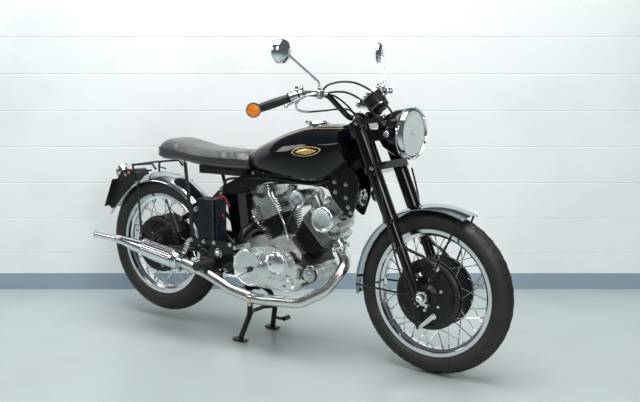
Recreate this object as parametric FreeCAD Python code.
import FreeCAD, Part
import math
import os

V = FreeCAD.Vector

# Wheels, in millimetres: 19 inch front, 18 inch rear
WHEELBASE = 1434
FRONT_TYRE_RADIUS = 325
FRONT_TYRE_HALF_WIDTH = 47
FRONT_BEAD_RADIUS = 241.5
FRONT_RIM_HALF_WIDTH = 32
FRONT_DRUM_RADIUS = 130
FRONT_DRUM_HALF_WIDTH = 52
REAR_TYRE_RADIUS = 328
REAR_TYRE_HALF_WIDTH = 53
REAR_BEAD_RADIUS = 228.6
REAR_RIM_HALF_WIDTH = 38
REAR_DRUM_RADIUS = 124
REAR_DRUM_HALF_WIDTH = 50
REAR_WHEEL_LIFT = 37
RIM_FLANGE_HEIGHT = 13.5
RIM_SHEET = 3
SPOKES_PER_SIDE = 20
SPOKE_RADIUS = 1.9
SPOKE_CROSSING = 4
FLANGE_HEIGHT = 11
TYRE_WALL = 8
AXLE_RADIUS = 8
AXLE_CLEARANCE = 0.5
SEAT_GAP = 0.25
RUNNING_GAP = 5.5

# Places of the wheels
FRONT_AXLE = V(752, 0, FRONT_TYRE_RADIUS)
REAR_AXLE = V(FRONT_AXLE.x - WHEELBASE, 0, REAR_TYRE_RADIUS + REAR_WHEEL_LIFT)

# Steering and fork
RAKE = math.radians(23)
UP = V(-math.sin(RAKE), 0, math.cos(RAKE))
AHEAD = V(math.cos(RAKE), 0, math.sin(RAKE))
AXLE_LEAD = 20.3
YOKE_OFFSET = 50
LEG_Y = 102
SHROUD_RADIUS = 28.5
SLIDER_RADIUS = 20.5
SHROUD_BOTTOM = 322
LOWER_YOKE = 515
LOWER_YOKE_THICKNESS = 30
TOP_YOKE = 704
TOP_YOKE_THICKNESS = 22
HEADSTOCK_RADIUS = 32
STEM_RADIUS = 15
STEM_CLEARANCE = 0.5
BEARING_GAP = 1.5
BAR_RADIUS = 11.1
GRIP_RADIUS = 16
CABLE_RADIUS = 4
MIRROR_RADIUS = 46
MIRROR_STEM_RADIUS = 4.5
SWITCH_RADIUS = 19
SWITCH_LENGTH = 26
LEVER_RADIUS = 5
LEVER_PIVOT = V(390, -257, 1094)
LEVER_ELBOW = V(368, -296, 1099)
LEVER_TIP = V(282, -340, 1051)
HEADLIGHT_DROP = 96.9
HEADLIGHT_AHEAD = 219.3
INSTRUMENT_POST_AHEAD = 72

# Frame
SPINE_HALF_WIDTH = 45
SPINE_TOP = 795
SPINE_BOTTOM = 708
SPINE_TAIL_X = -309
SWING_PIVOT = V(-215, 0, 395)
PIVOT_RADIUS = 15
HEAD_PLATE_THICKNESS = 8
SPINE_LUG_HALF = 40
SIDE_PLATE_Y = 160
SIDE_PLATE_THICKNESS = 8
FORK_ARM_Y = 108
FORK_ARM_RADIUS = 13
REAR_ARM_TOP = V(-400, -88, 562)
ARM_END_RADIUS = 24
ARM_LUG_HALF = 14
PIVOT_LUG_RADIUS = 27
SPRING_Y = 20
SPRING_CORE = 15
SPRING_RIB = 19
SPRING_RIBS = 7
CHAIN_CASE_INNER_Y = 62
CHAIN_CASE_OUTER_Y = 86

# What the frame carries
TRAY_TOP = 434
TRAY_THICKNESS = 6
BATTERY_INNER_Y = 92
BATTERY_HEIGHT = 189
SEAT_PAN_BOTTOM = 728
SEAT_PAN_HALF_Y = 92
RIDER_PEG = V(-243, 0, 352)
HORN = V(431, 60, 682)
HORN_ARM_RADIUS = 4

# Engine, a 72 degree vee twin
CRANK = V(75, 0, 375)
REAR_LEAN = math.radians(-25.5)
FRONT_LEAN = math.radians(46)
BARREL_BASE = 108
HEAD_BASE = 203
HEAD_FIN_TOP = 272
HEAD_TOP = 335
FIN_PITCH = 10.5
FIN_THICKNESS = 3
FIN_HALF_Y = 86
CASE_HALF_Y = 95
COVER_FACE_Y = 160
CLUTCH_DISC = V(-40, 0, 356)
CLUTCH_DISC_RADIUS = 78
CLUTCH_FACE_Y = 187
HEAD_LUG_TOP = 372
AIR_BOX = V(142, 0, 650)
AIR_BOX_RADIUS = 38
AIR_BOX_HALF_Y = 70

# Exhaust
PIPE_RADIUS = 23
REAR_PIPE_RADIUS = 18
MUFFLER_RADIUS = 41
MUFFLER_FRONT = V(-372, -220, 342)
MUFFLER_REAR = V(-762, -220, 404)
TAILPIPE_END = V(-932, -220, 412)
TAILPIPE_RADIUS = 16

# Tank and seat
TANK_HALF_WIDTH = 134
TANK_CROWN = 966
SEAT_HALF_WIDTH = 128
SEAT_REAR_X = -642
SEAT_FRONT_X = -108

# Centre stand
STAND_PIVOT = V(-165, 0, 215)
STAND_PIN_RADIUS = 7
STAND_TUBE_RADIUS = 14
STAND_LEG_RADIUS = 12
STAND_FOOT = V(-141, 117, 0)
STAND_LUG_Y = 30
STAND_LUG_THICKNESS = 8
STAND_SLEEVE_END = 76

# Mudguards
GUARD_SHEET = 2.5
FRONT_GUARD_CLEARANCE = 18
FRONT_GUARD_HALF_WIDTH = 64
FRONT_GUARD_DEPTH = 14
FRONT_GUARD_START = 65
FRONT_GUARD_SWEEP = 123
FRONT_GUARD_CENTRE = FRONT_AXLE.add(V(5, 0, 6))
REAR_GUARD_CLEARANCE = 12
REAR_GUARD_HALF_WIDTH = 70
REAR_GUARD_DEPTH = 38
REAR_GUARD_START = 43
REAR_GUARD_SWEEP = 92
REAR_GUARD_TAIL = 135
STAY_RADIUS = 4
GUARD_BRIDGE_RADIUS = 6
GUARD_BRIDGE_DROP = 70
GUARD_BRACKET_Y = 46
STAY_EAR_THICKNESS = 6
REAR_STAY_ANGLE = 111.6
FRONT_STAY_ANGLE = 72.3
REAR_STAY_EAR = V(-736, 0, 410)
RACK_HALF_WIDTH = 90
PLATE_HALF_WIDTH = 75
PLATE_BRACKET_HALF_Y = 45

# The middle of the overall length is the origin
PLATE_FOOT_X = -1026
PLATE_THICKNESS = 3
MIDDLE_X = (FRONT_AXLE.x + FRONT_TYRE_RADIUS + PLATE_FOOT_X - PLATE_THICKNESS) / 2


def save(name, shape):
    """Write one sub-part, with the middle of the length at X zero."""
    moved = shape.copy()
    moved.translate(V(-MIDDLE_X, 0, 0))
    moved.exportStep("parts/" + name + ".step")


def mirrored(shape):
    """The same shape on the other side of the machine."""
    return shape.mirror(V(0, 0, 0), V(0, 1, 0))


def both_sides(shape):
    return Part.makeCompound([shape, mirrored(shape)])


def fused(shapes):
    """One clean solid from shapes that touch."""
    whole = shapes[0].multiFuse(shapes[1:]).removeSplitter()
    if len(whole.Solids) == 1:
        return whole.Solids[0]
    return whole


def rod(start, end, radius):
    along = end.sub(start)
    return Part.makeCylinder(radius, along.Length, start, along)


def tube(start, end, radius, bore):
    return rod(start, end, radius).cut(rod(start, end, bore))


def block(low, high):
    return Part.makeBox(high.x - low.x, high.y - low.y, high.z - low.z, low)


def corner(before, point, after, radius):
    """Start, middle and end of the arc that rounds one corner."""
    back = before.sub(point).normalize()
    on = after.sub(point).normalize()
    half = back.getAngle(on) / 2
    reach = radius / math.tan(half)
    centre_way = back.add(on).normalize()
    centre = point.add(centre_way.multiply(radius / math.sin(half)))
    middle = centre.add(point.sub(centre).normalize().multiply(radius))
    return point.add(back.multiply(reach)), middle, point.add(on.multiply(reach))


def rounded_path(points, radii, closed=False):
    """Straight runs joined by tangent arcs. A radius of zero keeps a corner sharp."""
    count = len(points)
    stops = []
    for i in range(count):
        radius = radii[i] if isinstance(radii, list) else radii
        is_end = not closed and i in (0, count - 1)
        if is_end or radius == 0:
            stops.append((points[i], None, points[i]))
        else:
            stops.append(corner(points[i - 1], points[i], points[(i + 1) % count], radius))
    edges = []
    for i, (start, middle, end) in enumerate(stops):
        if middle is not None:
            edges.append(Part.Arc(start, middle, end).toShape())
        if i < count - 1 or closed:
            following = stops[(i + 1) % count][0]
            if end.distanceToPoint(following) > 0.001:
                edges.append(Part.LineSegment(end, following).toShape())
    return Part.Wire(edges)


def bent_rod(points, bends, radius):
    """A round bar along a path of straight runs and arcs."""
    path = rounded_path(points, bends)
    section = Part.Wire(Part.makeCircle(radius, points[0], points[1].sub(points[0])))
    return Part.Wire(path).makePipeShell([section], True, True)


def side_outline(points, radii, y_from, y_to):
    """A plate or block whose outline is given by X and Z, from one Y to another."""
    corners = [V(x, y_from, z) for x, z in points]
    wire = rounded_path(corners, radii, closed=True)
    return Part.Face(wire).extrude(V(0, y_to - y_from, 0))


def lathe(profile, centre):
    """Turn a closed outline of (Y, radius) pairs about the cross axis through a centre."""
    corners = [V(centre.x + r, centre.y + y, centre.z) for y, r in profile]
    wire = rounded_path(corners, 0, closed=True)
    return Part.Face(wire).revolve(centre, V(0, -1, 0), 360)


def lathe_along(profile, base, axis):
    """Turn a closed outline of (distance, radius) pairs about an axis from a base."""
    corners = [V(r, 0, d) for d, r in profile]
    solid = Part.Face(rounded_path(corners, 0, closed=True)).revolve(V(0, 0, 0), V(0, 0, 1), 360)
    solid.Placement = FreeCAD.Placement(base, FreeCAD.Rotation(V(0, 0, 1), axis))
    return solid


def on_fork(along, across=0, ahead=0):
    """A point by its distance up the steering axis, its Y and its distance ahead of the axis."""
    foot = FRONT_AXLE.sub(AHEAD * (AXLE_LEAD + YOKE_OFFSET))
    return foot.add(UP * along).add(AHEAD * ahead).add(V(0, across, 0))


def on_leg(along, side=-1):
    return on_fork(along, side * LEG_Y, YOKE_OFFSET)


# Wheels


def tyre(axle, radius, half_width, bead_radius, rim_half):
    """A hollow tyre whose beads stand inside the rim's flanges."""
    bead = rim_half - RIM_SHEET - SEAT_GAP
    foot = bead_radius + SEAT_GAP
    lip = bead_radius + RIM_FLANGE_HEIGHT + 1
    shoulder_y = half_width * 0.66
    shoulder_r = radius - half_width * 0.27
    belly_r = (lip + shoulder_r) / 2 + 2

    def point(y, r):
        return V(axle.x + r, y, axle.z)

    def arc(a, b, c):
        return Part.Arc(point(*a), point(*b), point(*c)).toShape()

    def line(a, b):
        return Part.LineSegment(point(*a), point(*b)).toShape()

    inner_foot = bead - TYRE_WALL
    inner_shoulder = shoulder_r - TYRE_WALL
    edges = [
        line((inner_foot, foot), (bead, foot)),
        line((bead, foot), (bead, lip)),
        arc((bead, lip), (half_width, belly_r), (shoulder_y, shoulder_r)),
        arc((shoulder_y, shoulder_r), (0, radius), (-shoulder_y, shoulder_r)),
        arc((-shoulder_y, shoulder_r), (-half_width, belly_r), (-bead, lip)),
        line((-bead, lip), (-bead, foot)),
        line((-bead, foot), (-inner_foot, foot)),
        line((-inner_foot, foot), (-inner_foot, lip)),
        arc((-inner_foot, lip), (-half_width + TYRE_WALL, belly_r), (-shoulder_y + 4, inner_shoulder)),
        arc((-shoulder_y + 4, inner_shoulder), (0, radius - TYRE_WALL - 3), (shoulder_y - 4, inner_shoulder)),
        arc((shoulder_y - 4, inner_shoulder), (half_width - TYRE_WALL, belly_r), (inner_foot, lip)),
        line((inner_foot, lip), (inner_foot, foot)),
    ]
    face = Part.Face(Part.Wire(edges))
    return face.revolve(axle, V(0, 1, 0), 360)


def rim_inner_radius(bead_radius):
    return bead_radius - 17


def rim(axle, bead_radius, half):
    """A drop-centre rim with rolled flanges."""
    seat = bead_radius
    well = bead_radius - 14
    flange = bead_radius + RIM_FLANGE_HEIGHT
    inside = rim_inner_radius(bead_radius)
    right = [
        (half, flange), (half - RIM_SHEET, flange), (half - RIM_SHEET, seat),
        (half * 0.5, seat), (half * 0.36, well),
    ]
    under = [(half * 0.45, inside), (half * 0.6, seat - RIM_SHEET), (half, seat - RIM_SHEET)]
    left = [(-y, r) for y, r in reversed(right)]
    left_under = [(-y, r) for y, r in reversed(under)]
    return lathe(right + left + left_under + under, axle)


def spokes(axle, hub_radius, flange_y, rim_radius, rim_y):
    """Laced spokes on both sides, each pair crossing one another."""
    step = 2 * math.pi / SPOKES_PER_SIDE
    pieces = []
    for side in (-1, 1):
        for i in range(SPOKES_PER_SIDE):
            lead = 1 if i % 2 == 0 else -1
            hub_angle = i * step + (step / 2 if side > 0 else 0)
            rim_angle = hub_angle + lead * step
            hub_y = side * (flange_y + lead * SPOKE_CROSSING)
            start = axle.add(V(hub_radius * math.cos(hub_angle), hub_y, hub_radius * math.sin(hub_angle)))
            end = axle.add(V(rim_radius * math.cos(rim_angle), side * rim_y, rim_radius * math.sin(rim_angle)))
            pieces.append(rod(start, end, SPOKE_RADIUS))
    return pieces


def hub(axle, drum_radius, drum_half, bead_radius, axle_radius):
    """A drum open at both ends, with cooling ribs, two spoke flanges and its spokes."""
    bore = axle_radius + AXLE_CLEARANCE
    wall = 8
    web_half = 9
    boss_half = drum_half - 8
    boss_radius = 26
    flange_r = drum_radius + FLANGE_HEIGHT
    flange_y = drum_half - 5
    rib_r = drum_radius + 5
    half = [
        (drum_half, drum_radius - wall), (drum_half, drum_radius),
        (flange_y + 7, drum_radius), (flange_y + 7 - 5, flange_r), (flange_y - 7, flange_r), (flange_y - 10, drum_radius),
        (21, drum_radius), (21, rib_r), (17, rib_r), (17, drum_radius), (3, drum_radius), (3, rib_r),
    ]
    half = [point for point in half if point[0] <= drum_half]
    inner = [
        (boss_half, bore), (boss_half, boss_radius), (web_half, boss_radius + 6),
        (web_half, drum_radius - wall - 6), (web_half + 6, drum_radius - wall),
    ]
    profile = inner + half
    left = [(-y, r) for y, r in reversed(profile)]
    body = lathe(profile + left, axle)
    rim_radius = rim_inner_radius(bead_radius) - SEAT_GAP - SPOKE_RADIUS * 0.6
    wires = spokes(axle, flange_r - 6, flange_y - 4, rim_radius, 7)
    return fused([body] + wires)


def brake_plate(axle, plate_radius, drum_half, side, lug_y, axle_radius):
    """The fixed plate that closes one end of a drum, with its raised rim and boss."""
    inner = side * (drum_half + RUNNING_GAP)
    face = side * (drum_half + RUNNING_GAP + 7)
    ring = side * (drum_half + RUNNING_GAP + 11)
    bore = axle_radius + SEAT_GAP
    profile = [
        (inner, bore), (inner, plate_radius), (face, plate_radius), (ring, plate_radius - 5),
        (ring, plate_radius - 17), (face, plate_radius - 22), (face, 44), (side * (lug_y - 6), 34),
        (side * lug_y, 30), (side * lug_y, bore),
    ]
    if side > 0:
        profile = list(reversed(profile))
    return lathe(profile, axle)


def front_wheel():
    save("front_tyre", tyre(FRONT_AXLE, FRONT_TYRE_RADIUS, FRONT_TYRE_HALF_WIDTH, FRONT_BEAD_RADIUS, FRONT_RIM_HALF_WIDTH))
    save("front_rim", rim(FRONT_AXLE, FRONT_BEAD_RADIUS, FRONT_RIM_HALF_WIDTH))
    save("front_hub_spokes", hub(FRONT_AXLE, FRONT_DRUM_RADIUS, FRONT_DRUM_HALF_WIDTH, FRONT_BEAD_RADIUS, AXLE_RADIUS))


def rear_wheel():
    save("rear_tyre", tyre(REAR_AXLE, REAR_TYRE_RADIUS, REAR_TYRE_HALF_WIDTH, REAR_BEAD_RADIUS, REAR_RIM_HALF_WIDTH))
    save("rear_rim", rim(REAR_AXLE, REAR_BEAD_RADIUS, REAR_RIM_HALF_WIDTH))
    save("rear_hub_spokes", hub(REAR_AXLE, REAR_DRUM_RADIUS, REAR_DRUM_HALF_WIDTH, REAR_BEAD_RADIUS, AXLE_RADIUS))


# Fork and what it carries
FORK_LUG_Y = LEG_Y - 21
BAR_CLAMP_Y = 42
BAR_CLAMP_AHEAD = 30
BAR_CLAMP_RISE = 22
GRIP_LENGTH = 138
HEADLIGHT = on_fork(TOP_YOKE - HEADLIGHT_DROP, 0, HEADLIGHT_AHEAD)
HANDLEBAR_CLAMP = on_fork(TOP_YOKE + TOP_YOKE_THICKNESS + BAR_CLAMP_RISE, 0, BAR_CLAMP_AHEAD)
BAR_POINTS = [V(HANDLEBAR_CLAMP.x, 0, HANDLEBAR_CLAMP.z), V(HANDLEBAR_CLAMP.x, -112, HANDLEBAR_CLAMP.z),
              V(386, -212, 1092),
              V(330, -288, 1099), V(172, -384, 1037)]


def fork_yokes(bar):
    """Two yokes on one stem, bored for the legs."""
    def yoke(low, thickness):
        outline = [
            on_fork(low, -LEG_Y - 36, YOKE_OFFSET - 23), on_fork(low, -LEG_Y - 36, YOKE_OFFSET + 34),
            on_fork(low, LEG_Y + 36, YOKE_OFFSET + 34), on_fork(low, LEG_Y + 36, YOKE_OFFSET - 23),
            on_fork(low, 22, -26), on_fork(low, -22, -26),
        ]
        wire = rounded_path(outline, [24, 30, 30, 24, 14, 14], closed=True)
        return Part.Face(wire).extrude(UP * thickness)

    stem = rod(on_fork(LOWER_YOKE), on_fork(TOP_YOKE + TOP_YOKE_THICKNESS + 12), STEM_RADIUS)
    parts = [yoke(LOWER_YOKE, LOWER_YOKE_THICKNESS), yoke(TOP_YOKE, TOP_YOKE_THICKNESS), stem]
    for y in (-BAR_CLAMP_Y, BAR_CLAMP_Y):
        foot = on_fork(TOP_YOKE + TOP_YOKE_THICKNESS, y, BAR_CLAMP_AHEAD)
        parts.append(rod(foot, foot.add(UP * BAR_CLAMP_RISE), 13))
        ring_start = V(HANDLEBAR_CLAMP.x, y - 13, HANDLEBAR_CLAMP.z)
        parts.append(rod(ring_start, ring_start.add(V(0, 26, 0)), BAR_RADIUS + 9))
    body = fused(parts).cut(bar)
    for side in (-1, 1):
        bore = rod(on_leg(LOWER_YOKE - 5, side), on_leg(TOP_YOKE + TOP_YOKE_THICKNESS + 5, side), SHROUD_RADIUS + SEAT_GAP)
        body = body.cut(bore)
    return body.Solids[0]


def fork_shrouds(shell):
    """The upper covers of both legs, with their caps and the headlight's ears."""
    legs = []
    for side in (-1, 1):
        top = TOP_YOKE + TOP_YOKE_THICKNESS + 3
        shroud = rod(on_leg(SHROUD_BOTTOM, side), on_leg(top, side), SHROUD_RADIUS)
        collar = rod(on_leg(SHROUD_BOTTOM, side), on_leg(SHROUD_BOTTOM + 14, side), SHROUD_RADIUS + 2)
        cap = rod(on_leg(top, side), on_leg(top + 4, side), SHROUD_RADIUS - 12)
        bore = rod(on_leg(SHROUD_BOTTOM - 1, side), on_leg(SHROUD_BOTTOM + 90, side), SLIDER_RADIUS + 1.5)
        legs.append(fused([shroud, collar, cap] + headlight_ear(side)).cut(bore).cut(shell).Solids[0])
    return Part.makeCompound(legs)


def fork_sliders():
    """The lower legs, their axle lugs and the axle between them."""
    legs = []
    for side in (-1, 1):
        slider = rod(on_leg(-24, side), on_leg(SHROUD_BOTTOM + 90, side), SLIDER_RADIUS)
        lug_inner = V(FRONT_AXLE.x, side * FORK_LUG_Y, FRONT_AXLE.z)
        lug_outer = V(FRONT_AXLE.x, side * (LEG_Y + 18), FRONT_AXLE.z)
        lug = rod(lug_inner, lug_outer, 21)
        legs.append(fused([slider, lug]))
    axle = rod(FRONT_AXLE.sub(V(0, LEG_Y + 34, 0)), FRONT_AXLE.add(V(0, LEG_Y + 34, 0)), AXLE_RADIUS)
    nuts = [
        rod(FRONT_AXLE.add(V(0, side * (LEG_Y + 18), 0)), FRONT_AXLE.add(V(0, side * (LEG_Y + 27), 0)), 15)
        for side in (-1, 1)
    ]
    return fused(legs + [axle] + nuts)


def front_brake_plates():
    plates = [
        brake_plate(FRONT_AXLE, FRONT_DRUM_RADIUS + 6, FRONT_DRUM_HALF_WIDTH, side, FORK_LUG_Y, AXLE_RADIUS)
        for side in (-1, 1)
    ]
    return Part.makeCompound(plates)


def bar_way():
    return BAR_POINTS[4].sub(BAR_POINTS[3]).normalize()


def handlebar():
    right = bent_rod(BAR_POINTS, [0, 60, 55, 55, 0], BAR_RADIUS)
    return fused([right, mirrored(right)])


def grips():
    """Barrel-shaped rubber grips with a flange at the inner end."""
    end = BAR_POINTS[4]
    way = bar_way()
    start = end.sub(way * GRIP_LENGTH)
    bore = BAR_RADIUS + SEAT_GAP
    profile = [
        (0, bore), (0, GRIP_RADIUS + 5), (5, GRIP_RADIUS + 5), (8, GRIP_RADIUS - 1), (GRIP_LENGTH * 0.5, GRIP_RADIUS + 1.5),
        (GRIP_LENGTH - 6, GRIP_RADIUS - 1), (GRIP_LENGTH - 2, GRIP_RADIUS - 2), (GRIP_LENGTH - 2, bore),
    ]
    return both_sides(lathe_along(profile, start, way))


def bar_indicators():
    """Lamp bodies at the ends of the bar, which close the tube."""
    end = BAR_POINTS[4]
    way = bar_way()
    body = lathe_along([(0.2, 0), (0.2, 14), (4, 20), (14, 23), (22, 23), (22, 0)], end, way)
    return both_sides(body)


def indicator_lenses():
    end = BAR_POINTS[4]
    way = bar_way()
    lens = lathe_along([(22, 0), (22, 21), (30, 20), (37, 14), (40, 6), (40, 0)], end, way)
    return both_sides(lens)


def bar_controls():
    """Lever perches with their levers and mirror bosses, and switch housings beside the grips."""
    inner = BAR_POINTS[2]
    outer = BAR_POINTS[3]
    way = outer.sub(inner).normalize()
    perch = inner.add(way * 34)
    bore = BAR_RADIUS + SEAT_GAP
    clamp = tube(perch.sub(way * 11), perch.add(way * 11), BAR_RADIUS + 7, bore)
    ahead = V(0.8, -0.6, 0)
    bracket = rod(perch.add(ahead * (BAR_RADIUS + 3)), LEVER_PIVOT, 8)
    knuckle = rod(LEVER_PIVOT.add(V(0, 0, -9)), LEVER_PIVOT.add(V(0, 0, 9)), 11)
    blade = bent_rod([LEVER_PIVOT, LEVER_ELBOW, LEVER_TIP], [0, 55, 0], LEVER_RADIUS)
    ball = Part.makeSphere(LEVER_RADIUS + 3, LEVER_TIP)
    boss = rod(perch.add(V(0, 0, BAR_RADIUS + 3)), MIRROR_STEM[0], 7)
    lever = fused([clamp, bracket, knuckle, blade, ball, boss])
    along = bar_way()
    house = BAR_POINTS[4].sub(along * (GRIP_LENGTH + 2))
    housing = tube(house.sub(along * SWITCH_LENGTH), house, SWITCH_RADIUS, bore)
    up = V(0, 0, 1).sub(along * along.z).normalize()
    knob_base = house.sub(along * SWITCH_LENGTH * 0.5).add(up * (SWITCH_RADIUS - 2))
    knob = lathe_along([(0, 0), (0, 7), (6, 7), (9, 4), (10, 0)], knob_base, up)
    switch = fused([housing, knob])
    return Part.makeCompound([lever, switch, mirrored(lever), mirrored(switch)])


MIRROR_STEM = [V(366, -239, 1116), V(370, -248, 1140), V(298, -340, 1240), V(285, -360, 1255)]


def mirrors():
    """Round mirrors on thin bent stems from the lever perches."""
    head_centre = MIRROR_STEM[3]
    facing = V(-0.96, 0.27, 0.03).normalize()
    profile = [
        (0, 0), (0, MIRROR_RADIUS - 3), (3, MIRROR_RADIUS), (9, MIRROR_RADIUS - 1), (18, MIRROR_RADIUS * 0.74),
        (24, MIRROR_RADIUS * 0.4), (26, 0),
    ]
    dish = lathe_along(profile, head_centre.add(facing * 14), facing * -1)
    stem = bent_rod(MIRROR_STEM, [0, 18, 60, 0], MIRROR_STEM_RADIUS)
    return both_sides(fused([stem, dish]))


def headlight():
    """A deep round shell with a chromed rim and a domed lens."""
    back = V(-1, 0, 0)
    base = HEADLIGHT.add(back * 18)
    shell = lathe_along([(0, 0), (0, 93), (20, 95), (60, 90), (100, 70), (125, 44), (135, 0)], base, back)
    rim_ring = lathe_along([(0, 90), (-14, 92), (-20, 96), (-18, 101), (0, 102), (10, 98), (10, 95.3), (0, 95)], base, back)
    lens = lathe_along([(0, 0), (0, 89.8), (-12, 89), (-22, 60), (-27, 25), (-28, 0)], base, back)
    return shell, rim_ring, lens


def headlight_ear(side):
    """A plate from one leg cover, with the bolt that holds the headlight shell."""
    x, z = HEADLIGHT.x, HEADLIGHT.z
    outline = [(x - 182, z - 37), (x - 182, z + 14), (x - 52, z + 20), (x - 40, z), (x - 52, z - 20)]
    plate = side_outline(outline, [0, 0, 16, 16, 16], side * (LEG_Y - 5), side * LEG_Y)
    bolt = rod(V(x - 68, side * 80, z), V(x - 68, side * (LEG_Y + 6), z), 9)
    return [plate, bolt]


def instruments():
    """One round instrument with a rolled bezel on a short post from the top yoke."""
    way = V(-0.625, 0, 0.781).normalize()
    profile = [(0, 0), (0, 28), (7, 38), (14, 42), (66, 42), (66, 45.5), (76, 45.5), (79, 42), (76, 39), (72, 39), (72, 0)]
    foot = on_fork(TOP_YOKE + TOP_YOKE_THICKNESS, 0, INSTRUMENT_POST_AHEAD)
    can = lathe_along(profile, foot.add(UP * 19.5).add(AHEAD * 41), way)
    post = rod(foot, foot.add(UP * 40), 9)
    return fused([can, post])


def control_cables(shell, controls):
    """Two cables from the right hand controls, over the top yoke and down to the headlight shell."""
    long_route = [
        V(382, -252, 1098), V(405, -247, 1130), V(444, -215, 1143), V(483, -170, 1140), V(519, -120, 1112),
        V(550, -80, 1072), V(574, -52, 1030), V(580, -40, 1000),
    ]
    short_route = [V(388, -250, 1094), V(418, -226, 1104), V(451, -190, 1104), V(474, -140, 1084), V(497, -100, 1048),
                   V(516, -68, 1008), V(524, -45, 968)]
    cables = []
    for route in (long_route, short_route):
        radii = [0] + [cord_radius(route, i) for i in range(1, len(route) - 1)] + [0]
        cable = bent_rod(route, radii, CABLE_RADIUS)
        cable = cable.cut(shell).cut(controls)
        cables.append(max(cable.Solids, key=lambda solid: solid.Volume))
    return Part.makeCompound(cables)


def cord_radius(route, i):
    """The largest arc that two neighbouring runs of a route allow."""
    back = route[i - 1].sub(route[i])
    on = route[i + 1].sub(route[i])
    half_turn = (math.pi - back.getAngle(on)) / 2
    return 0.45 * min(back.Length, on.Length) / math.tan(half_turn)


def guard_section(radius, half_width, depth):
    """Thin arched section of a mudguard, its crown at a radius."""
    edge = radius - depth
    inner_half = half_width - GUARD_SHEET

    def point(y, r):
        return V(r, y, 0)

    edges = [
        Part.Arc(point(-half_width, edge), point(0, radius), point(half_width, edge)).toShape(),
        Part.LineSegment(point(half_width, edge), point(inner_half, edge)).toShape(),
        Part.Arc(point(inner_half, edge), point(0, radius - GUARD_SHEET), point(-inner_half, edge)).toShape(),
        Part.LineSegment(point(-inner_half, edge), point(-half_width, edge)).toShape(),
    ]
    return Part.Face(Part.Wire(edges))


def guard_shell(axle, radius, half_width, depth, start, sweep):
    """Turn the section about an axle, from an angle counted up from straight ahead."""
    face = guard_section(radius, half_width, depth)
    face.rotate(V(0, 0, 0), V(0, -1, 0), start)
    shell = face.revolve(V(0, 0, 0), V(0, -1, 0), sweep)
    shell.translate(axle)
    return shell


def front_mudguard():
    radius = FRONT_TYRE_RADIUS + FRONT_GUARD_CLEARANCE
    return guard_shell(FRONT_GUARD_CENTRE, radius, FRONT_GUARD_HALF_WIDTH, FRONT_GUARD_DEPTH,
                       FRONT_GUARD_START, FRONT_GUARD_SWEEP)


def rear_mudguard():
    """The rear guard, which runs on straight at its tail."""
    radius = REAR_TYRE_RADIUS + REAR_GUARD_CLEARANCE
    end_angle = REAR_GUARD_START + REAR_GUARD_SWEEP
    shell = guard_shell(REAR_AXLE, radius, REAR_GUARD_HALF_WIDTH, REAR_GUARD_DEPTH,
                        REAR_GUARD_START, REAR_GUARD_SWEEP)
    face = guard_section(radius, REAR_GUARD_HALF_WIDTH, REAR_GUARD_DEPTH)
    face.rotate(V(0, 0, 0), V(0, -1, 0), end_angle)
    face.translate(REAR_AXLE)
    turn = math.radians(end_angle)
    tail = face.extrude(V(-math.sin(turn), 0, math.cos(turn)) * REAR_GUARD_TAIL)
    return fused([shell, tail])


def guard_point(axle, radius, angle, y):
    turn = math.radians(angle)
    return axle.add(V(radius * math.cos(turn), y, radius * math.sin(turn)))


def front_guard_stays(sliders, guard):
    """Wire stays and bridge rods that carry the front mudguard on the fork's lower legs."""
    edge = FRONT_TYRE_RADIUS + FRONT_GUARD_CLEARANCE - FRONT_GUARD_DEPTH
    whole = []
    for side in (-1, 1):
        lug_y = side * (LEG_Y + 4)
        for angle in (68, 181):
            top = guard_point(FRONT_GUARD_CENTRE, edge + 2, angle, side * (FRONT_GUARD_HALF_WIDTH + 1))
            low = guard_point(FRONT_AXLE, 8, angle, lug_y)
            whole.append(rod(top, low, STAY_RADIUS))
        start = on_leg(SHROUD_BOTTOM - GUARD_BRIDGE_DROP, side)
        reach = V(start.x - FRONT_AXLE.x, 0, start.z - FRONT_AXLE.z).normalize()
        end = FRONT_GUARD_CENTRE.add(reach * (edge + 1)).add(V(0, side * (FRONT_GUARD_HALF_WIDTH - 5), 0))
        whole.append(rod(start, end, GUARD_BRIDGE_RADIUS))
    pieces = []
    for piece in whole:
        clear = piece.cut(sliders).cut(guard)
        pieces.append(max(clear.Solids, key=lambda solid: solid.Volume))
    return Part.makeCompound(pieces)


# Frame


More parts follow.
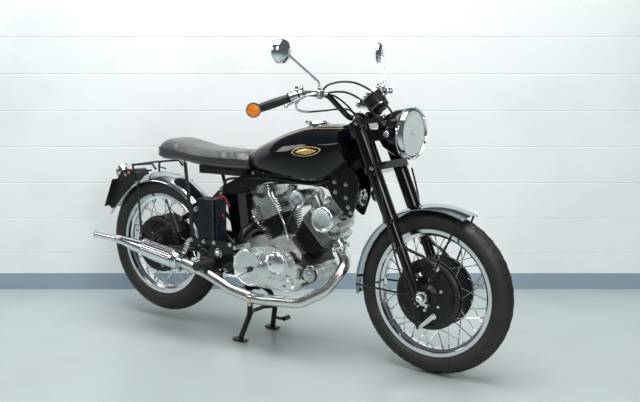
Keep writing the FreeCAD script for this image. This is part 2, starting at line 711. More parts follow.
def spine():
    """The box-section backbone, with the headstock and the seat post that carries the swing pivot."""
    head = [on_fork(TOP_YOKE - 41.8, 0, -18), on_fork(TOP_YOKE - 143, 0, -30.5), on_fork(TOP_YOKE - 143.7, 0, -85.2)]
    outline = [(SPINE_TAIL_X, 662), (-150, 741), (-20, SPINE_TOP), (290, SPINE_TOP)]
    outline += [(point.x, point.z) for point in head]
    outline += [(300, SPINE_BOTTOM), (-37, SPINE_BOTTOM), (-184, 644), (SPINE_TAIL_X, 625)]
    radii = [0, 150, 120, 60, 0, 0, 20, 60, 120, 60, 0]
    box = side_outline(outline, radii, -SPINE_HALF_WIDTH, SPINE_HALF_WIDTH)
    post = side_outline([(-292, 640), (-222, 645), (-190, 395), (-240, 395)], 0, -28, 28)
    lug = rod(SWING_PIVOT.sub(V(0, SPINE_LUG_HALF, 0)), SWING_PIVOT.add(V(0, SPINE_LUG_HALF, 0)), 27)
    reach = V(0, SIDE_PLATE_Y, 0)
    spindle = rod(SWING_PIVOT.sub(reach), SWING_PIVOT.add(reach), PIVOT_RADIUS)
    low = on_fork(LOWER_YOKE + LOWER_YOKE_THICKNESS + BEARING_GAP)
    high = on_fork(TOP_YOKE - BEARING_GAP)
    stock = rod(low, high, HEADSTOCK_RADIUS)
    body = fused([box, post, lug, spindle, stock])
    return body.cut(rod(on_fork(LOWER_YOKE), on_fork(TOP_YOKE + 40), STEM_RADIUS + STEM_CLEARANCE))


def head_plates():
    """Two plates from the headstock down to the front cylinder head."""
    outline = [(262, 740), (300, 800), (392, 800), (428, 740), (420, 660), (392, 586), (362, 605), (300, 668)]
    plate = side_outline(outline, [8, 20, 10, 20, 20, 8, 20, 20],
                         -SPINE_HALF_WIDTH - HEAD_PLATE_THICKNESS, -SPINE_HALF_WIDTH)
    return both_sides(plate)


def horns(plates):
    """Two round horns on short arms from the front edges of the head plates."""
    pieces = []
    profile = [(0, 0), (0, 20), (8, 30), (14, 33), (22, 33), (24, 30), (22, 27), (20, 12), (22, 0)]
    for side in (-1, 1):
        horn = lathe_along(profile, V(HORN.x, side * HORN.y, HORN.z), V(1, 0, 0))
        arm_y = side * (SPINE_HALF_WIDTH + HEAD_PLATE_THICKNESS / 2)
        arm = rod(V(HORN.x - 22, arm_y, HORN.z), V(HORN.x + 6, arm_y, HORN.z), HORN_ARM_RADIUS)
        body = fused([horn, arm]).cut(plates)
        pieces.append(max(body.Solids, key=lambda solid: solid.Volume))
    return Part.makeCompound(pieces)


def side_plates():
    """The plates behind the gearbox that carry the swing pivot, pegs, pedals and battery trays."""
    outline = [
        (-388, 447), (-112, 447), (-136, 396), (-138, 296), (-166, 296), (-215, 330), (-270, 332), (-330, 385), (-388, 420),
    ]
    window = [(-354, 425), (-262, 425), (-282, 372)]
    near = -SIDE_PLATE_Y - SIDE_PLATE_THICKNESS
    plate = side_outline(outline, [8, 6, 20, 10, 10, 20, 20, 30, 8], near, -SIDE_PLATE_Y)
    hole = side_outline(window, 6, near - 1, -SIDE_PLATE_Y + 1)
    tray = block(V(-345, -SIDE_PLATE_Y, TRAY_TOP - TRAY_THICKNESS), V(-228, -BATTERY_INNER_Y, TRAY_TOP))
    return both_sides(fused([plate.cut(hole), tray]))


def rear_guard_stays(fork, guard):
    """Stays from the rear fork to the mudguard's sides, the rack above it and its front brackets."""
    edge = REAR_TYRE_RADIUS + REAR_GUARD_CLEARANCE - REAR_GUARD_DEPTH
    y = REAR_GUARD_HALF_WIDTH + 3
    ear_y = FORK_ARM_Y + STAY_EAR_THICKNESS / 2
    side = []
    bosses = []
    for angle in (REAR_STAY_ANGLE, FRONT_STAY_ANGLE):
        centre = guard_point(REAR_AXLE, edge + 7, angle, 0)
        bosses.append(centre)
        side.append(rod(centre.add(V(0, -y - 6, 0)), centre.add(V(0, -y + 16, 0)), 7))
    rear_foot = V(REAR_STAY_EAR.x, -ear_y - 5, REAR_STAY_EAR.z)
    side.append(rod(bosses[0].add(V(0, -y, 0)), rear_foot, 5))
    side.append(rod(rear_foot.add(V(0, -4, 0)), V(rear_foot.x, -ear_y, rear_foot.z), 8))
    side.append(rod(bosses[1].add(V(0, -y, 0)), V(-655, -FORK_ARM_Y, 412), 5))
    rack = [bosses[0].add(V(0, -y, 0)), V(-812, -RACK_HALF_WIDTH, 737), V(-680, -RACK_HALF_WIDTH, 751),
            V(-656, -RACK_HALF_WIDTH, 726)]
    side.append(bent_rod(rack, [0, 18, 12, 0], 5))
    cross = rod(V(-812, -RACK_HALF_WIDTH, 737), V(-812, RACK_HALF_WIDTH, 737), 5)
    side.append(rod(V(-806, -RACK_HALF_WIDTH + 3, 712), V(-727, -GUARD_BRACKET_Y, 712), 4))
    body = fused(side + [mirrored(piece) for piece in side] + [cross]).cut(guard).cut(fork)
    pieces = [max(body.Solids, key=lambda solid: solid.Volume)]
    for side_y in (-GUARD_BRACKET_Y, GUARD_BRACKET_Y):
        start = V(REAR_ARM_TOP.x, side_y, REAR_ARM_TOP.z)
        end = guard_point(REAR_AXLE, edge + REAR_GUARD_DEPTH * 0.62, REAR_GUARD_START + 1.5, side_y)
        bracket = rod(start, end, GUARD_BRIDGE_RADIUS)
        bracket = bracket.cut(guard).cut(fork)
        pieces.append(max(bracket.Solids, key=lambda solid: solid.Volume))
    return Part.makeCompound(pieces)


def rear_fork():
    """The triangulated rear fork, with its pivot tubes, struts and the rear wheel's axle."""
    lug_inner = -FORK_ARM_Y + ARM_LUG_HALF
    lug_outer = -FORK_ARM_Y - ARM_LUG_HALF
    end = V(REAR_AXLE.x, -FORK_ARM_Y, REAR_AXLE.z)
    lug = rod(V(end.x, lug_inner, end.z), V(end.x, lug_outer, end.z), ARM_END_RADIUS)
    pivot_tube = rod(V(SWING_PIVOT.x, -SPINE_LUG_HALF - 4, SWING_PIVOT.z), V(SWING_PIVOT.x, -140, SWING_PIVOT.z), PIVOT_LUG_RADIUS)
    pivot = V(SWING_PIVOT.x, -FORK_ARM_Y - 4, SWING_PIVOT.z)
    lower = rod(end, pivot, FORK_ARM_RADIUS)
    upper = bent_rod([end.add(V(8, 0, 18)), V(-640, -FORK_ARM_Y, 424), REAR_ARM_TOP], [0, 60, 0], FORK_ARM_RADIUS)
    ear_y = -FORK_ARM_Y - STAY_EAR_THICKNESS / 2
    ear_outline = [
        (REAR_STAY_EAR.x - 11, REAR_STAY_EAR.z - 8), (REAR_STAY_EAR.x, REAR_STAY_EAR.z + 12), (end.x - 4, end.z + 20),
        (end.x - 12, end.z - 12),
    ]
    ear = side_outline(ear_outline, [5, 5, 0, 0], ear_y, ear_y + STAY_EAR_THICKNESS)
    strut_y = -SPINE_LUG_HALF - 12
    strut = rod(V(REAR_ARM_TOP.x, strut_y, REAR_ARM_TOP.z), V(SWING_PIVOT.x - 4, strut_y, SWING_PIVOT.z + 18), 9)
    side = [lug, pivot_tube, lower, upper, Part.makeSphere(FORK_ARM_RADIUS, REAR_ARM_TOP), ear, strut]
    side.append(rod(V(end.x, lug_outer, end.z), V(end.x, lug_outer - 10, end.z), 15))
    cross = rod(REAR_ARM_TOP, V(REAR_ARM_TOP.x, -REAR_ARM_TOP.y, REAR_ARM_TOP.z), FORK_ARM_RADIUS)
    reach = V(0, FORK_ARM_Y + ARM_LUG_HALF + 18, 0)
    axle = rod(REAR_AXLE.sub(reach), REAR_AXLE.add(reach), AXLE_RADIUS)
    body = fused(side + [mirrored(piece) for piece in side] + [cross, axle])
    return body.cut(rod(SWING_PIVOT.sub(V(0, 200, 0)), SWING_PIVOT.add(V(0, 200, 0)), PIVOT_RADIUS))


def spring_units(fork):
    """Two ribbed spring boxes between the rear fork's cross tube and the tail of the backbone."""
    units = []
    for y in (-SPRING_Y, SPRING_Y):
        low = V(REAR_ARM_TOP.x, y, REAR_ARM_TOP.z)
        high = V(SPINE_TAIL_X, y, 643)
        way = high.sub(low)
        length = way.Length
        way.normalize()
        profile = [(0, 0), (0, SPRING_CORE)]
        rib_start = FORK_ARM_RADIUS + 6
        pitch = (length - 14 - rib_start) / SPRING_RIBS
        for i in range(SPRING_RIBS):
            at = rib_start + i * pitch
            profile += [(at, SPRING_CORE), (at + pitch * 0.3, SPRING_RIB), (at + pitch * 0.7, SPRING_RIB), (at + pitch, SPRING_CORE)]
        profile += [(length + 20, SPRING_CORE), (length + 20, 0)]
        tail_space = block(V(SPINE_TAIL_X, -60, 560), V(SPINE_TAIL_X + 200, 60, 720))
        unit = lathe_along(profile, low, way).cut(tail_space).cut(fork)
        units.append(max(unit.Solids, key=lambda solid: solid.Volume))
    return Part.makeCompound(units)


def chain_case(fork):
    """The closed case round the final drive on the left side."""
    rear_radius = 88
    front_radius = 46
    front = V(SWING_PIVOT.x + 22, 0, SWING_PIVOT.z)
    way = front.sub(REAR_AXLE)
    lean = math.acos((rear_radius - front_radius) / way.Length)
    heading = math.atan2(way.z, way.x)

    def edge(centre, radius, turn):
        angle = heading + turn
        return V(centre.x + radius * math.cos(angle), CHAIN_CASE_INNER_Y, centre.z + radius * math.sin(angle))

    rear_top = edge(REAR_AXLE, rear_radius, lean)
    rear_low = edge(REAR_AXLE, rear_radius, -lean)
    front_top = edge(front, front_radius, lean)
    front_low = edge(front, front_radius, -lean)
    edges = [
        Part.LineSegment(rear_top, front_top).toShape(),
        Part.Arc(front_top, edge(front, front_radius, 0), front_low).toShape(),
        Part.LineSegment(front_low, rear_low).toShape(),
        Part.Arc(rear_low, edge(REAR_AXLE, rear_radius, math.pi), rear_top).toShape(),
    ]
    case = Part.Face(Part.Wire(edges)).extrude(V(0, CHAIN_CASE_OUTER_Y - CHAIN_CASE_INNER_Y, 0))
    return case.cut(rod(SWING_PIVOT.sub(V(0, 200, 0)), SWING_PIVOT.add(V(0, 200, 0)), PIVOT_RADIUS)).cut(fork)


def rear_brake_plate():
    return brake_plate(REAR_AXLE, REAR_DRUM_RADIUS + 5, REAR_DRUM_HALF_WIDTH, -1, FORK_ARM_Y - ARM_LUG_HALF, AXLE_RADIUS)


def number_plate(guard):
    """The plate on a deep bracket that stands on the rear mudguard."""
    outline = [(-966, 652), (PLATE_FOOT_X, 518), (-1010, 505), (-830, 640), (-838, 690), (-860, 708), (-925, 702), (-952, 672)]
    bracket = side_outline(outline, [0, 0, 0, 0, 18, 18, 14, 10], -PLATE_BRACKET_HALF_Y, PLATE_BRACKET_HALF_Y)
    back = PLATE_THICKNESS
    plate = side_outline([(-964, 656), (PLATE_FOOT_X, 518), (PLATE_FOOT_X - back, 518), (-964 - back, 656)], 0,
                         -PLATE_HALF_WIDTH, PLATE_HALF_WIDTH)
    body = fused([bracket, plate]).cut(guard)
    return max(body.Solids, key=lambda solid: solid.Volume)


def tail_lamp(bracket):
    """A round tail lamp that faces back from the top of the plate's bracket."""
    way = V(-0.94, 0, 0.34).normalize()
    profile = [(0, 0), (0, 22), (10, 31), (26, 35), (34, 35), (38, 31), (46, 21), (49, 0)]
    lamp = lathe_along(profile, V(-944, 0, 682), way).cut(bracket)
    return max(lamp.Solids, key=lambda solid: solid.Volume)


def footpegs(fork):
    """Rider's pegs on the side plates and folded passenger's pegs on the rear fork's upper arms."""
    start = -SIDE_PLATE_Y - SIDE_PLATE_THICKNESS
    profile = [(0, 0), (0, 12), (12, 12), (12, 16), (20, 17), (104, 17), (112, 19), (117, 19), (117, 0)]
    rider = lathe_along(profile, V(RIDER_PEG.x, start, RIDER_PEG.z), V(0, -1, 0))
    pillion_low = V(-469, -150, 459)
    pillion_high = V(-504, -150, 538)
    rubber = rod(pillion_low, pillion_high, 20)
    arm = rod(V(-480, -FORK_ARM_Y, 512), V(-480, -150, 490), 8)
    passenger = fused([rubber, arm]).cut(fork)
    passenger = max(passenger.Solids, key=lambda solid: solid.Volume)
    return Part.makeCompound([rider, passenger, mirrored(rider), mirrored(passenger)])


def foot_controls():
    """The brake pedal on the right and the gear lever on the left."""
    outer = -SIDE_PLATE_Y - SIDE_PLATE_THICKNESS
    hub_end = V(-150, -206, 312)
    boss = rod(V(-150, outer, 312), hub_end, 11)
    arm = bent_rod([V(-150, -198, 312), V(-60, -202, 316), V(4, -212, 362)], [0, 60, 0], 6)
    pad = rod(V(4, -206, 362), V(4, -262, 362), 9)
    brake = fused([boss, arm, pad])
    face = COVER_FACE_Y
    shaft = rod(V(-60, CASE_HALF_Y + 34, 300), V(-60, face + 34, 300), 8)
    lever = bent_rod([V(-60, face + 28, 300), V(10, face + 30, 304), V(72, face + 34, 318)], [0, 80, 0], 5)
    toe = rod(V(72, face + 30, 318), V(72, face + 74, 318), 9)
    gear = fused([shaft, lever, toe])
    return Part.makeCompound([brake, gear])


# Engine


def on_cylinder(lean, along, across=0, y=0):
    """A point by its distance up a cylinder's axis and forwards across it."""
    axis = V(math.sin(lean), 0, math.cos(lean))
    forward = V(math.cos(lean), 0, -math.sin(lean))
    return CRANK.add(axis * along).add(forward * across).add(V(0, y, 0))


def cylinder_slab(lean, low, high, half_across, half_y, corner_radius):
    """A rounded block square to a cylinder's axis."""
    corners = [
        on_cylinder(lean, low, -half_across, -half_y), on_cylinder(lean, low, half_across, -half_y),
        on_cylinder(lean, low, half_across, half_y), on_cylinder(lean, low, -half_across, half_y),
    ]
    axis = on_cylinder(lean, high).sub(on_cylinder(lean, low))
    return Part.Face(rounded_path(corners, corner_radius, closed=True)).extrude(axis)


def barrel(lean):
    """A finned barrel that stands on the crankcase."""
    pieces = [cylinder_slab(lean, BARREL_BASE, HEAD_BASE, 50, 54, 30)]
    count = int((HEAD_BASE - BARREL_BASE - 12) / FIN_PITCH)
    for i in range(count + 1):
        at = BARREL_BASE + 10 + i * FIN_PITCH
        grow = i / count
        pieces.append(cylinder_slab(lean, at, at + FIN_THICKNESS, 62 + 16 * grow, 68 + 14 * grow, 26))
    return fused(pieces)


def cylinder_head(lean, cover_side):
    """A finned head with a smooth cam box, a round cam cover at one side and ports."""
    pieces = [
        cylinder_slab(lean, HEAD_BASE, HEAD_FIN_TOP, 54, 58, 20),
        cylinder_slab(lean, HEAD_FIN_TOP, HEAD_TOP - 22, 62, 70, 22),
        cylinder_slab(lean, HEAD_TOP - 22, HEAD_TOP, 48, 62, 24),
    ]
    count = int((HEAD_FIN_TOP - HEAD_BASE) / FIN_PITCH)
    for i in range(count):
        at = HEAD_BASE + 4 + i * FIN_PITCH
        pieces.append(cylinder_slab(lean, at, at + FIN_THICKNESS, 84, FIN_HALF_Y, 26))
    start = on_cylinder(lean, 296, 0, cover_side * 60)
    end = on_cylinder(lean, 296, 0, cover_side * 100)
    pieces.append(rod(start, end, 49))
    outside = 1 if lean > 0 else -1
    port_start = on_cylinder(lean, 238, outside * 40)
    port_end = on_cylinder(lean, 222, outside * 100)
    pieces.append(rod(port_start, port_end, 32))
    intake_start = on_cylinder(lean, 245, -outside * 40)
    intake_end = on_cylinder(lean, 258, -outside * 92)
    pieces.append(rod(intake_start, intake_end, 27))
    if lean > 0:
        lug = cylinder_slab(lean, HEAD_TOP - 30, HEAD_LUG_TOP, 40, SPINE_HALF_WIDTH, 6)
        lug.translate(on_cylinder(lean, 0, -20).sub(CRANK))
        pieces.append(lug)
    below = cylinder_slab(lean, HEAD_BASE - 60, HEAD_BASE, 150, 150, 10)
    return fused(pieces).cut(below).Solids[0]


def crankcase():
    """The main case under both barrels, with a sump."""
    outline = [
        (-140, 452), (-20, 476), (70, 500), (128, 492), (165, 462), (232, 405), (196, 330), (170, 268),
        (120, 252), (-60, 252), (-118, 300),
    ]
    radii = [20, 20, 0, 0, 0, 14, 20, 24, 20, 20, 30]
    body = side_outline(outline, radii, -CASE_HALF_Y, CASE_HALF_Y)
    for lean in (REAR_LEAN, FRONT_LEAN):
        body = body.cut(cylinder_slab(lean, BARREL_BASE, BARREL_BASE + 120, 130, 130, 10))
    mount = V(-122, SIDE_PLATE_Y, 428)
    mounts = rod(mount, V(mount.x, -mount.y, mount.z), 9)
    return fused([body.Solids[0], mounts, starter()] + left_cover())


def right_cover():
    """The polished right side: an oval cover with a plain disc, a dome and a small round cap."""
    outline = [(-128, 425), (60, 455), (150, 440), (190, 380), (185, 300), (150, 262), (20, 268), (-100, 285), (-130, 340)]
    base = side_outline(outline, [40, 60, 50, 40, 40, 30, 60, 50, 40], -CASE_HALF_Y - 50, -CASE_HALF_Y)
    ledge = rod(V(CLUTCH_DISC.x, -CASE_HALF_Y - 50, CLUTCH_DISC.z), V(CLUTCH_DISC.x, -COVER_FACE_Y - 10, CLUTCH_DISC.z), 84)
    disc = rod(V(CLUTCH_DISC.x, -COVER_FACE_Y - 10, CLUTCH_DISC.z), V(CLUTCH_DISC.x, -CLUTCH_FACE_Y, CLUTCH_DISC.z), CLUTCH_DISC_RADIUS)
    nose_outline = [(-60, 436), (70, 458), (150, 420), (160, 350), (100, 318), (-20, 276)]
    nose = side_outline(nose_outline, [30, 50, 40, 40, 40, 30], -COVER_FACE_Y, -CASE_HALF_Y - 50)
    ring = rod(V(93, -COVER_FACE_Y, 387), V(93, -COVER_FACE_Y - 5, 387), 62)
    dome = lathe_along([(0, 0), (0, 49), (6, 47), (13, 38), (18, 22), (20, 0)], V(93, -COVER_FACE_Y - 5, 387), V(0, -1, 0))
    cap = rod(V(134, -CASE_HALF_Y - 50, 301), V(134, -COVER_FACE_Y + 4, 301), 33)
    return fused([base, ledge, disc, nose, ring, dome, cap])


def left_cover():
    """The left side: a rounded generator cover on the crank and a sprocket cover behind it."""
    outline = [(-100, 300), (-110, 430), (40, 455), (150, 440), (190, 380), (185, 300), (150, 262), (-40, 262)]
    base = side_outline(outline, [40, 40, 60, 50, 40, 40, 30, 40], CASE_HALF_Y, CASE_HALF_Y + 34)
    round_cover = rod(V(CRANK.x, CASE_HALF_Y + 34, CRANK.z), V(CRANK.x, COVER_FACE_Y, CRANK.z), 80)
    raised = rod(V(CRANK.x, COVER_FACE_Y, CRANK.z), V(CRANK.x, COVER_FACE_Y + 9, CRANK.z), 56)
    return [base, round_cover, raised]


def starter():
    """The starter motor and its mount, low in front of the crankcase."""
    centre = V(226, 0, 344)
    motor = rod(V(centre.x, -104, centre.z), V(centre.x, 60, centre.z), 34)
    cap = rod(V(centre.x, -112, centre.z), V(centre.x, -104, centre.z), 29)
    return fused([motor, cap])


def carburettors():
    """Twin carburettors between the barrels, joined to the heads' ports."""
    pieces = []
    for lean in (REAR_LEAN, FRONT_LEAN):
        outside = 1 if lean > 0 else -1
        mouth = on_cylinder(lean, 258, -outside * 92)
        way = mouth.sub(on_cylinder(lean, 245, -outside * 40)).normalize()
        end = mouth.add(way * 46)
        pieces.append(rod(mouth, end, 25))
        middle = mouth.add(way * 24)
        bowl_top = V(middle.x, 0, middle.z)
        pieces.append(rod(bowl_top.add(V(0, 0, -44)), bowl_top.add(V(0, 0, 30)), 20))
    box = AIR_BOX
    pieces.append(rod(box.sub(V(0, AIR_BOX_HALF_Y, 0)), box.add(V(0, AIR_BOX_HALF_Y, 0)), AIR_BOX_RADIUS))
    return fused(pieces)


# Exhaust
FRONT_PORT = on_cylinder(FRONT_LEAN, 222, 100)
REAR_PORT = on_cylinder(REAR_LEAN, 222, -100)


def exhaust_pipes():
    """The front and rear pipes, which join ahead of the silencer."""
    front_way = on_cylinder(FRONT_LEAN, 222, 100).sub(on_cylinder(FRONT_LEAN, 238, 40)).normalize()
    front = [
        FRONT_PORT, FRONT_PORT.add(front_way * 34), V(392, -76, 400), V(335, -150, 300), V(240, -196, 246),
        V(20, -200, 230), V(-110, -202, 252), V(-250, -214, 312), MUFFLER_FRONT,
    ]
    rear_way = on_cylinder(REAR_LEAN, 222, -100).sub(on_cylinder(REAR_LEAN, 238, -40)).normalize()
    rear = [
        REAR_PORT, REAR_PORT.add(rear_way * 40), V(-168, -66, 470), V(-168, -76, 330), V(-225, -150, 290),
        V(-300, -212, 312),
    ]
    front_pipe = bent_rod(front, [0, 30, 80, 90, 90, 300, 200, 200, 0], PIPE_RADIUS)
    rear_pipe = bent_rod(rear, [0, 30, 45, 45, 50, 0], REAR_PIPE_RADIUS)
    return front_pipe.cut(rear_pipe).Solids[0], rear_pipe


def silencer(pipes):
    """A long silencer with a collar, a reverse cone, a thin tail pipe and its hanger."""
    way = MUFFLER_REAR.sub(MUFFLER_FRONT)
    length = way.Length
    profile = [
        (0, 0), (0, 30), (24, 30), (28, MUFFLER_RADIUS - 5), (44, MUFFLER_RADIUS), (length * 0.42, MUFFLER_RADIUS - 1),
        (length * 0.8, MUFFLER_RADIUS - 14), (length - 6, 20), (length, 18), (length, 0),
    ]
    body = lathe_along(profile, MUFFLER_FRONT, way)
    tail_start = MUFFLER_REAR.sub(way.normalize() * 10)
    tail = rod(tail_start, TAILPIPE_END, TAILPIPE_RADIUS)
    collar = lathe_along([(0, 0), (0, 20), (24, 20), (30, TAILPIPE_RADIUS + 1), (30, 0)], tail_start,
                         TAILPIPE_END.sub(tail_start))
    bore = rod(MUFFLER_REAR.add(V(-20, 0, 0)), TAILPIPE_END.add(V(-5, 0, 0)), TAILPIPE_RADIUS - 3)
    outer = -SIDE_PLATE_Y - SIDE_PLATE_THICKNESS
    strap = side_outline([(-368, 444), (-386, 444), (-426, 376), (-406, 376)], [7, 7, 0, 0], outer - 6, outer)
    foot = block(V(-426, -214, 370), V(-406, outer, 380))
    return fused([body, tail, collar, strap, foot]).cut(bore).cut(pipes)


# Tank, seat and what is near them


def tank_section(x, crown, bottom, half_width):
    """One closed cross-section of the tank."""
    height = crown - bottom
    right = [
        (0, crown), (0.42 * half_width, crown - 0.03 * height), (0.76 * half_width, crown - 0.15 * height),
        (0.97 * half_width, crown - 0.38 * height), (half_width, crown - 0.6 * height),
        (0.9 * half_width, bottom + 0.09 * height), (0.6 * half_width, bottom),
    ]
    left = [(-y, z) for y, z in reversed(right[1:])]
    curve = Part.BSplineCurve()
    curve.interpolate([V(x, y, z) for y, z in right + left], PeriodicFlag=True)
    return Part.Wire(curve.toShape())


def fuel_tank():
    """A broad rounded tank, cut square to the steering axis in front and tunnelled for the backbone."""
    sections = [
        tank_section(-196, 799, 778, 26), tank_section(-130, 838, 762, 66), tank_section(-40, 880, 750, 102),
        tank_section(70, 926, 741, 128), tank_section(190, 958, 731, TANK_HALF_WIDTH),
        tank_section(290, TANK_CROWN, 748, TANK_HALF_WIDTH), tank_section(420, 962, 836, 132),
    ]
    body = Part.makeLoft(sections, True, False)
    face_line = [on_fork(300, 0, -YOKE_OFFSET), on_fork(900, 0, -YOKE_OFFSET)]
    cutter = side_outline(
        [(face_line[0].x, face_line[0].z), (face_line[1].x, face_line[1].z), (700, 1200), (900, 500)], 0, -300, 300)
    body = body.cut(cutter)
    tunnel_half = SPINE_HALF_WIDTH + HEAD_PLATE_THICKNESS + 5
    tunnel = side_outline(
        [(-400, 500), (-400, SPINE_TOP), (262, SPINE_TOP), (392, 925), (600, 925), (600, 500)], 0,
        -tunnel_half, tunnel_half)
    tunnel.translate(V(0, 0, SEAT_GAP))
    return body.cut(tunnel).Solids[0]


def filler_cap():
    """A flip-up cap with its hinge behind and its latch in front."""
    base = V(195, 0, 950)
    axis = V(-0.07, 0, 1)
    cap = lathe_along([(-14, 0), (-14, 40), (6, 40), (6, 45), (17, 45), (24, 39), (27, 24), (28, 0)], base, axis)
    hinge = rod(V(148, -16, 969), V(148, 16, 969), 6)
    hinge_leaf = block(V(148, -13, 957), V(162, 13, 972))
    latch = block(V(232, -9, 957), V(246, 9, 972))
    return fused([cap, hinge, hinge_leaf, latch])


def seat():
    """A long dual seat with rounded edges on a flat base."""
    def section(x, top, base, half):
        height = top - base
        right = [(0, top), (0.6 * half, top - 0.04 * height), (0.93 * half, top - 0.3 * height),
                 (half, base + 0.4 * height), (0.93 * half, base), (0.4 * half, base)]
        left = [(-y, z) for y, z in reversed(right[1:])]
        curve = Part.BSplineCurve()
        curve.interpolate([V(x, y, z) for y, z in right + left], PeriodicFlag=True)
        return Part.Wire(curve.toShape())

    sections = [
        section(SEAT_REAR_X, 844, 800, 96), section(SEAT_REAR_X + 32, 861, 790, 122),
        section(-560, 861, 787, SEAT_HALF_WIDTH), section(-480, 846, 782, SEAT_HALF_WIDTH),
        section(-380, 831, 771, SEAT_HALF_WIDTH), section(-250, 828, 761, 118), section(-150, 828, 760, 104),
        section(SEAT_FRONT_X, 820, 766, 84),
    ]
    return Part.makeLoft(sections, True, False)


def seat_frame(backbone, cushion, tank):
    """The pan under the seat and the two stays that run down to the side plates."""
    pan = block(V(-386, -SEAT_PAN_HALF_Y, SEAT_PAN_BOTTOM), V(-145, SEAT_PAN_HALF_Y, SEAT_PAN_BOTTOM + 60))
    side = []
    foot = V(-377, -SIDE_PLATE_Y + 8, 436)
    side.append(rod(V(-455, -112, 795), foot, 8))
    side.append(rod(foot, V(foot.x, -SIDE_PLATE_Y, foot.z), 8))
    stay = fused(side)
    pieces = []
    for piece in (pan, stay, mirrored(stay)):
        clear = piece.cut(backbone).cut(cushion).cut(tank)
        pieces.append(max(clear.Solids, key=lambda solid: solid.Volume))
    return Part.makeCompound(pieces)


def battery():
    """The battery on the right tray and the matching tool box on the left one."""
    low = V(-341, -SIDE_PLATE_Y + 4, TRAY_TOP)
    high = V(-232, -BATTERY_INNER_Y, TRAY_TOP + BATTERY_HEIGHT)
    case = block(low, high)
    lid = block(V(low.x - 2, low.y - 2, high.z - 24), V(high.x + 2, high.y + 2, high.z - 14))
    return both_sides(fused([case, lid]))


# Centre stand


def centre_stand():
    """Two bowed legs on pivot sleeves, an arch between them, curved feet and a tread."""
    sleeve_start = -STAND_LUG_Y - STAND_LUG_THICKNESS - BEARING_GAP
    sleeve = rod(STAND_PIVOT.add(V(0, sleeve_start, 0)), STAND_PIVOT.sub(V(0, STAND_SLEEVE_END, 0)), STAND_TUBE_RADIUS)
    top = STAND_PIVOT.sub(V(0, STAND_SLEEVE_END - STAND_LEG_RADIUS, 0))
    ankle = V(STAND_FOOT.x, -STAND_FOOT.y, 9)
    leg = bent_rod([top, V(-118, -72, 186), V(-106, -92, 118), ankle], [0, 26, 60, 0], STAND_LEG_RADIUS)
    side = [sleeve, leg]
    foot_outline = [(STAND_FOOT.x - 34, 12), (STAND_FOOT.x - 26, 0), (STAND_FOOT.x + 26, 0), (STAND_FOOT.x + 36, 10),
                    (STAND_FOOT.x + 14, 9), (STAND_FOOT.x - 14, 9)]
    side.append(side_outline(foot_outline, 0, -STAND_FOOT.y - 17, -STAND_FOOT.y + 17))
    arch = bent_rod([V(-106, -92, 118), V(-128, -40, 122), V(-128, 40, 122), V(-106, 92, 118)], [0, 40, 40, 0], 9)
    tread = bent_rod([V(-125, 104, 60), V(-120, 150, 42), V(-108, 176, 40)], [0, 14, 0], 7)
    pad = rod(V(-108, 160, 40), V(-108, 198, 40), 11)
    body = fused([arch, tread, pad] + side + [mirrored(piece) for piece in side])
    return body.cut(rod(STAND_PIVOT.sub(V(0, 200, 0)), STAND_PIVOT.add(V(0, 200, 0)), STAND_PIN_RADIUS + 0.4))


def stand_bracket(case):
    """Lugs under the gearbox with the pin that the stand turns on."""
    lugs = []
    for y in (-STAND_LUG_Y - STAND_LUG_THICKNESS, STAND_LUG_Y):
        outline = [
            (-186, 208), (-178, 198), (-152, 198), (-140, 212), (-40, 250), (-40, 268), (-122, 310), (-150, 270), (-186, 222),
        ]
        lugs.append(side_outline(outline, [0, 0, 0, 0, 0, 0, 0, 8, 0], y, y + STAND_LUG_THICKNESS).cut(case))
    reach = V(0, STAND_SLEEVE_END + 8, 0)
    pin = rod(STAND_PIVOT.sub(reach), STAND_PIVOT.add(reach), STAND_PIN_RADIUS)
    return fused(lugs + [pin])


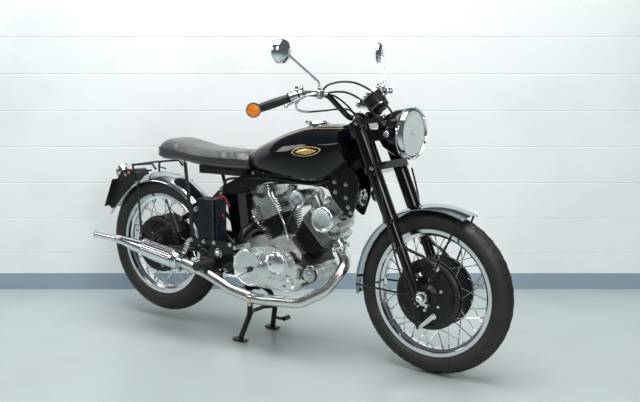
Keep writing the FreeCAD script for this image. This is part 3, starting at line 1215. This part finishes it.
def main():
    """Build every sub-part and write it out."""
    os.makedirs("parts", exist_ok=True)
    front_wheel()
    rear_wheel()
    bar = handlebar()
    save("fork_yokes", fork_yokes(bar))
    shell, rim_ring, lens = headlight()
    save("fork_shrouds", fork_shrouds(shell))
    sliders = fork_sliders()
    save("fork_sliders", sliders)
    save("front_brake_plates", front_brake_plates())
    save("handlebar", bar)
    save("grips", grips())
    save("bar_indicators", bar_indicators())
    save("indicator_lenses", indicator_lenses())
    controls = bar_controls()
    save("bar_controls", controls)
    save("mirrors", mirrors().cut(controls))
    save("headlight_shell", shell)
    save("headlight_rim", rim_ring)
    save("headlight_lens", lens)
    save("instruments", instruments())
    save("control_cables", control_cables(shell, controls))
    front_guard = front_mudguard()
    save("front_mudguard", front_guard)
    save("front_guard_stays", front_guard_stays(sliders, front_guard))
    backbone = spine()
    save("frame_spine", backbone)
    plates = head_plates()
    save("head_plates", plates)
    save("horns", horns(plates))
    save("side_plates", side_plates())
    fork = rear_fork()
    save("rear_fork", fork)
    save("spring_units", spring_units(fork))
    save("chain_case", chain_case(fork))
    save("rear_brake_plate", rear_brake_plate())
    rear_guard = rear_mudguard()
    save("rear_mudguard", rear_guard)
    save("rear_guard_stays", rear_guard_stays(fork, rear_guard))
    bracket = number_plate(rear_guard)
    save("number_plate", bracket)
    save("tail_lamp", tail_lamp(bracket))
    case = crankcase()
    save("crankcase", case)
    save("right_cover", right_cover())
    heads = Part.makeCompound([cylinder_head(REAR_LEAN, 1), cylinder_head(FRONT_LEAN, -1)])
    save("barrels", Part.makeCompound([barrel(REAR_LEAN), barrel(FRONT_LEAN)]))
    save("heads", heads)
    save("carburettors", carburettors().cut(heads))
    pipes, rear_pipe = exhaust_pipes()
    save("exhaust_pipes", pipes)
    save("rear_exhaust_pipe", rear_pipe)
    save("silencer", silencer(pipes.fuse(rear_pipe)))
    tank = fuel_tank()
    save("fuel_tank", tank)
    save("filler_cap", filler_cap().cut(tank))
    cushion = seat().cut(tank)
    save("seat", cushion)
    save("seat_frame", seat_frame(backbone, cushion, tank))
    save("battery", battery())
    save("footpegs", footpegs(fork))
    save("foot_controls", foot_controls())
    save("centre_stand", centre_stand())
    save("stand_bracket", stand_bracket(case))


main()
